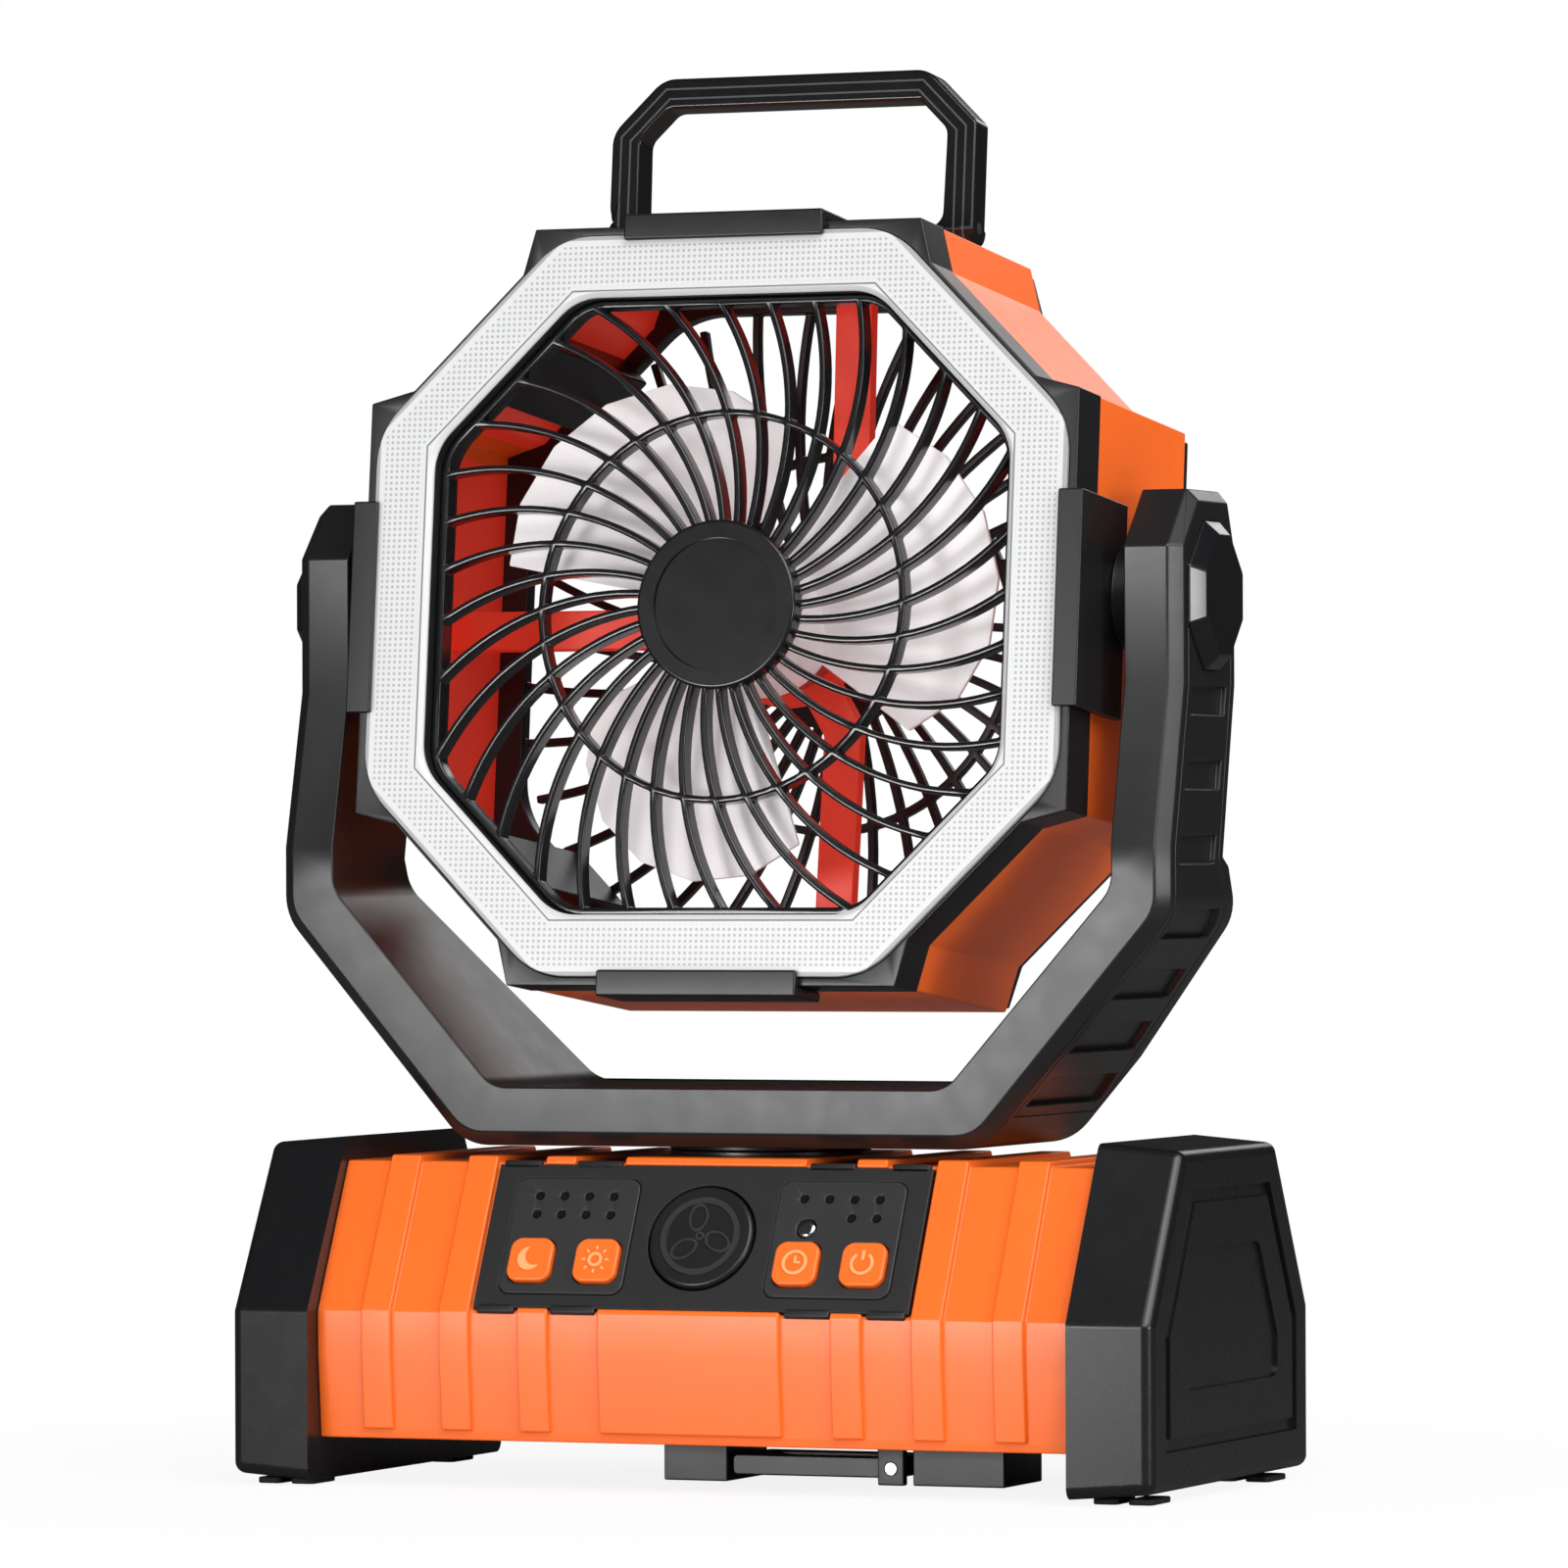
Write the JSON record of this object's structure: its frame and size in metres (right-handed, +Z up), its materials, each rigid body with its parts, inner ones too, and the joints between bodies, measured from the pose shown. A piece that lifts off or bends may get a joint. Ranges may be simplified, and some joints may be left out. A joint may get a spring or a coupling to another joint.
{
  "type": "portable camping fan",
  "caption": "Battery camping fan with a ring lamp: an eight-sided tilting head in a swinging yoke on a ribbed base, with a fold-down handle and a hanging hook.",
  "frame": {"origin": "on the ground under the middle of the base", "axes": "+X along the base to the right seen from the front, -Y towards the front, +Z up"},
  "size_m": [0.244, 0.1172, 0.3517],
  "materials": {
    "black_plastic": "fine satin texture",
    "gloss_black": "smooth, soft gloss",
    "orange_plastic": "satin",
    "lens_white": "frosted, milky",
    "blade_plastic": "frosted translucent grey",
    "rubber_black": "matte",
    "clear_lens": "clear, faceted",
    "board_green": "lacquered circuit board",
    "board_white": "white circuit board",
    "lamp_yellow": "phosphor",
    "steel": "zinc-plated",
    "motor_can": "drawn can, satin",
    "cell_sleeve": "shrink sleeve",
    "brass_bush": "sintered",
    "gear_white": "moulded acetal"
  },
  "bodies": {
    "base": {"base_shell": "orange_plastic", "bottom_cover": "orange_plastic", "case_screws": "steel", "end_cap_left": "black_plastic", "end_cap_right": "black_plastic", "foot_pads": "rubber_black", "control_panel": "black_plastic", "indicator_plates": "black_plastic", "indicator_lights": "gloss_black", "remote_eye": "clear_lens", "control_board": "board_green", "tact_switches": "gloss_black", "battery_tray": "black_plastic", "battery_cells": "cell_sleeve", "usb_sockets": "steel", "socket_board": "board_green", "hook_bracket": "black_plastic", "hook_pin": "steel", "turntable_ring": "black_plastic", "spindle_bush": "brass_bush", "swing_motor": "motor_can"},
    "yoke": {"turntable_disc": "black_plastic", "spindle": "steel", "swing_gear": "gear_white", "yoke_frame": "black_plastic", "yoke_skin_left": "black_plastic", "yoke_skin_right": "black_plastic", "pivot_cover_left": "gloss_black", "pivot_cover_right": "gloss_black", "pivot_bushes": "brass_bush", "tilt_washers": "steel"},
    "pinion": {"swing_pinion": "gear_white"},
    "head": {"front_frame": "black_plastic", "lamp_lens": "lens_white", "lamp_board": "board_white", "lamp_chips": "lamp_yellow", "lens_clip_top": "black_plastic", "lens_clip_bottom": "black_plastic", "pivot_block_left": "black_plastic", "pivot_block_right": "black_plastic", "pivot_shafts": "steel", "front_grille": "gloss_black", "hub_cap": "gloss_black", "back_grille": "black_plastic", "corner_posts": "black_plastic", "shell_screws": "steel", "rear_shell": "orange_plastic", "motor_spider": "orange_plastic", "fan_motor": "motor_can", "handle_pins": "steel"},
    "fan": {"motor_shaft": "steel", "fan_rotor": "blade_plastic"},
    "handle": {"handle": "gloss_black"},
    "hook": {"hanging_hook": "black_plastic"},
    "flap": {"socket_flap": "rubber_black"},
    "key_night": {"button_night": "orange_plastic"},
    "key_lamp": {"button_lamp": "orange_plastic"},
    "key_timer": {"button_timer": "orange_plastic"},
    "key_power": {"button_power": "orange_plastic"},
    "key_fan": {"button_fan": "black_plastic"}
  },
  "joints": [
    {"name": "yoke_swivel", "type": "hinge", "parent": "base", "child": "yoke", "pos_m": [0, 0, 0.084], "axis": [0, 0, 1], "range_deg": [-45, 45]},
    {"name": "pinion_spin", "type": "hinge", "parent": "base", "child": "pinion", "pos_m": [0.0276, 0, 0.054], "axis": [0, 0, 1], "range_deg": [-121, 121]},
    {"name": "head_tilt", "type": "hinge", "parent": "yoke", "child": "head", "pos_m": [0, -0.004, 0.2186], "axis": [1, 0, 0], "range_deg": [-84, 96]},
    {"name": "fan_spin", "type": "hinge", "parent": "head", "child": "fan", "pos_m": [0, 0.00072, 0.21378], "axis": [0, -0.9945, 0.1045], "continuous": true},
    {"name": "handle_fold", "type": "hinge", "parent": "head", "child": "handle", "pos_m": [0, 0.01853, 0.31145], "axis": [1, 0, 0], "range_deg": [-90, 0]},
    {"name": "hook_fold", "type": "hinge", "parent": "base", "child": "hook", "pos_m": [0.042, -0.012, 0.0056], "axis": [0, -1, 0], "range_deg": [0, 90]},
    {"name": "flap_open", "type": "hinge", "parent": "base", "child": "flap", "pos_m": [0, 0.05355, 0.03435], "axis": [-1, 0, 0], "range_deg": [0, 100]},
    {"name": "key_night_press", "type": "slide", "parent": "base", "child": "key_night", "axis": [0, 0.893, -0.4501], "range_m": [0, 0.0008], "stiffness_N_per_m": 1500, "springref_m": -0.0002},
    {"name": "key_lamp_press", "type": "slide", "parent": "base", "child": "key_lamp", "axis": [0, 0.893, -0.4501], "range_m": [0, 0.0008], "stiffness_N_per_m": 1500, "springref_m": -0.0002},
    {"name": "key_timer_press", "type": "slide", "parent": "base", "child": "key_timer", "axis": [0, 0.893, -0.4501], "range_m": [0, 0.0008], "stiffness_N_per_m": 1500, "springref_m": -0.0002},
    {"name": "key_power_press", "type": "slide", "parent": "base", "child": "key_power", "axis": [0, 0.893, -0.4501], "range_m": [0, 0.0008], "stiffness_N_per_m": 1500, "springref_m": -0.0002},
    {"name": "key_fan_press", "type": "slide", "parent": "base", "child": "key_fan", "axis": [0, 0.893, -0.4501], "range_m": [0, 0.0008], "stiffness_N_per_m": 1500, "springref_m": -0.0002}
  ],
  "couplings": [
    {"joint": "pinion_spin", "follows": "yoke_swivel", "ratio": -2.6667}
  ]
}
